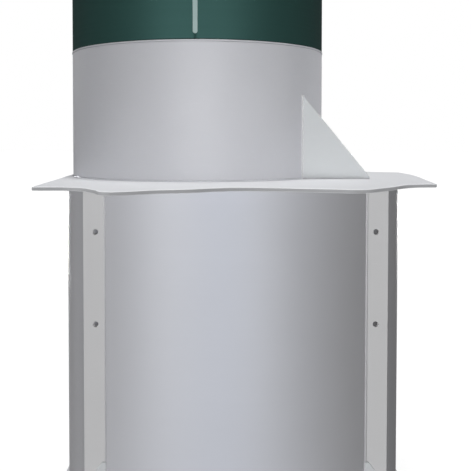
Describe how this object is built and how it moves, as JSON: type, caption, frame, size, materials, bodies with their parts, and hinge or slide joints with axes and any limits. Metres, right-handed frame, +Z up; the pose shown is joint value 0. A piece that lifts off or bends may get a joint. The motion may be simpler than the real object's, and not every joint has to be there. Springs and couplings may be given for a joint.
{
  "type": "septic tank",
  "caption": "Round upright septic tank of welded plastic sheet with wavy base and shoulder plates, ribs, gussets and an offset neck closed by a green lid.",
  "frame": {"origin": "centre of the underside of the base plate, on the axis of the round tank body", "axes": "+Z up along the body's axis, -Y towards the front, +X to the right as seen from the front"},
  "size_m": [1.1401, 1.4059, 1.6717],
  "materials": {
    "plate_sheet": "satin grey polypropylene sheet",
    "body_sheet": "satin grey polypropylene sheet",
    "rib_sheet": "satin grey polypropylene sheet",
    "gusset_sheet": "satin grey polypropylene sheet",
    "neck_sheet": "satin grey polypropylene sheet",
    "lid_green": "satin dark green polypropylene sheet",
    "lid_strip": "satin pale green plastic strip"
  },
  "bodies": {
    "root": {"base_plate": "plate_sheet", "shoulder_plate": "plate_sheet", "front_body_sheet": "body_sheet", "right_body_sheet": "body_sheet", "back_body_sheet": "body_sheet", "left_body_sheet": "body_sheet", "front_left_rib": "rib_sheet", "front_right_rib": "rib_sheet", "back_left_rib": "rib_sheet", "back_right_rib": "rib_sheet", "front_left_base_gusset": "gusset_sheet", "front_right_base_gusset": "gusset_sheet", "back_left_base_gusset": "gusset_sheet", "back_right_base_gusset": "gusset_sheet", "front_neck_gusset": "gusset_sheet", "back_neck_gusset": "gusset_sheet", "front_neck_sheet": "neck_sheet", "back_neck_sheet": "neck_sheet", "neck_rim_ring": "neck_sheet", "left_lid_skirt": "lid_green", "right_lid_skirt": "lid_green", "lid_crown": "lid_green", "lid_locating_ring": "lid_green", "front_lid_strip": "lid_strip", "back_lid_strip": "lid_strip"}
  },
  "joints": []
}
